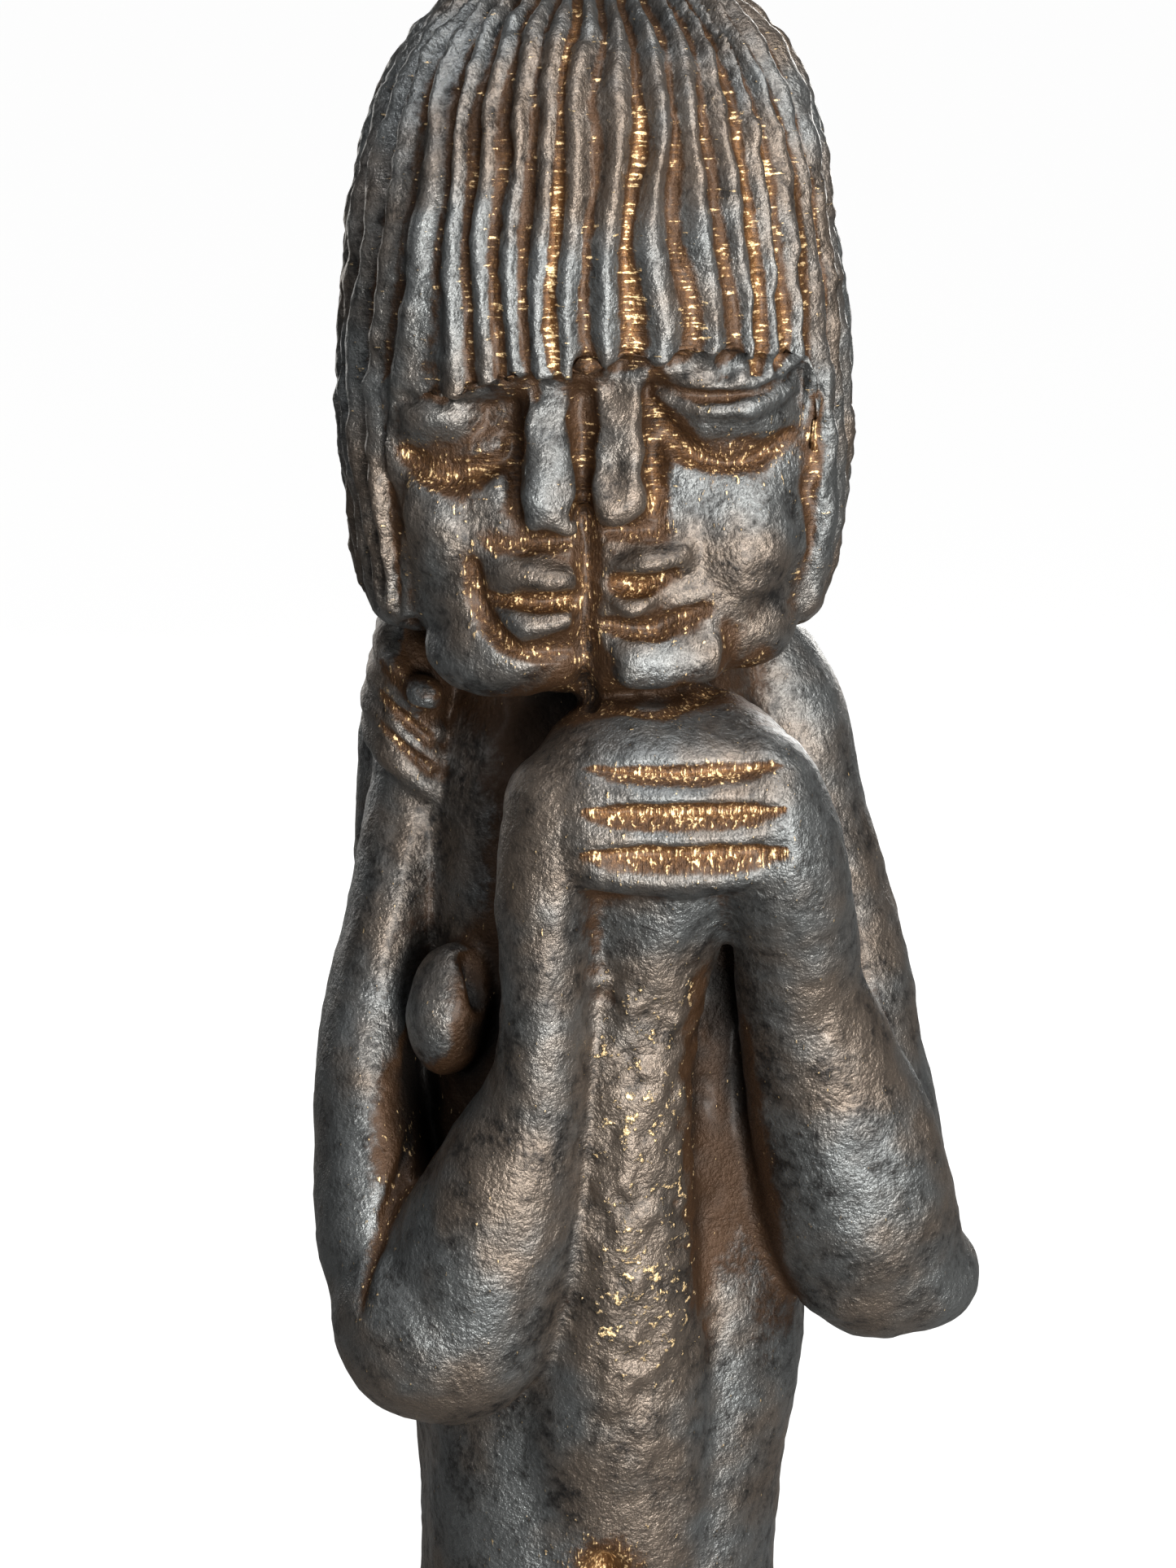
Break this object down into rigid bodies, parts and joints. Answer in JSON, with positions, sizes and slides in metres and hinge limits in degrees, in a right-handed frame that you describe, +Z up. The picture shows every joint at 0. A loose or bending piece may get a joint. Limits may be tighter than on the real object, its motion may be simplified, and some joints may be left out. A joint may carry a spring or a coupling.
{
  "type": "janus figure sculpture",
  "caption": "Slender cast bronze of two figures fused back to back on a low base, with two half faces under one cap of hair and hands clasped below the chin.",
  "frame": {"origin": "middle of the base's underside, which rests on the table", "axes": "+Z up through the heads; -Y is the front, where both half faces look"},
  "size_m": [0.0649, 0.0593, 0.3196],
  "materials": {
    "patinated_bronze": "cast bronze with a dark grey-blue patina, rubbed to gold in the recesses"
  },
  "bodies": {
    "root": {"janus_figure": "patinated_bronze"}
  },
  "joints": []
}
